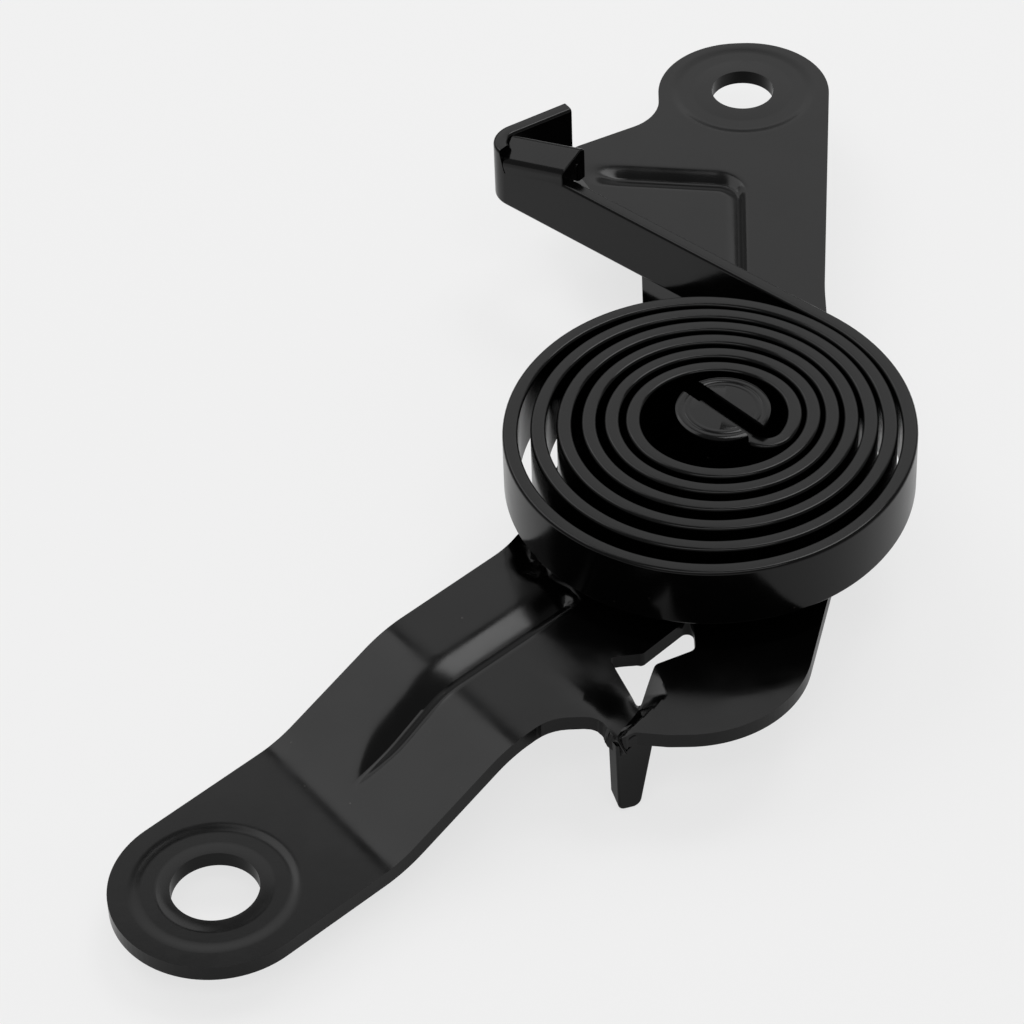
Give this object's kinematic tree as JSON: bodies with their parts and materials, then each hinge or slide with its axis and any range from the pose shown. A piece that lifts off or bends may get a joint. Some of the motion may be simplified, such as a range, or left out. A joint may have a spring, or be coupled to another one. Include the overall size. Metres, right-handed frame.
{
  "type": "hood spring",
  "caption": "Flat spiral strip spring on a slotted stud, riveted to a cranked sheet bracket with two mounting holes; its hooked arm helps to lift a vehicle's hood.",
  "frame": {"origin": "centre of the lower ear's hole on the underside of its pressed seat, the face that is bolted down", "axes": "+Z along that hole and the coil's stud, up through the coil; +Y towards the upper ear; the coil lies at +X and +Y of the origin"},
  "size_m": [0.1035, 0.1712, 0.0275],
  "materials": {
    "bracket": "gloss black electrocoat on pressed steel sheet",
    "stud": "gloss black electrocoat on turned steel",
    "spring": "gloss black electrocoat on spring steel strip"
  },
  "bodies": {
    "root": {"bracket": "bracket", "stud": "stud", "spring": "spring"}
  },
  "joints": []
}
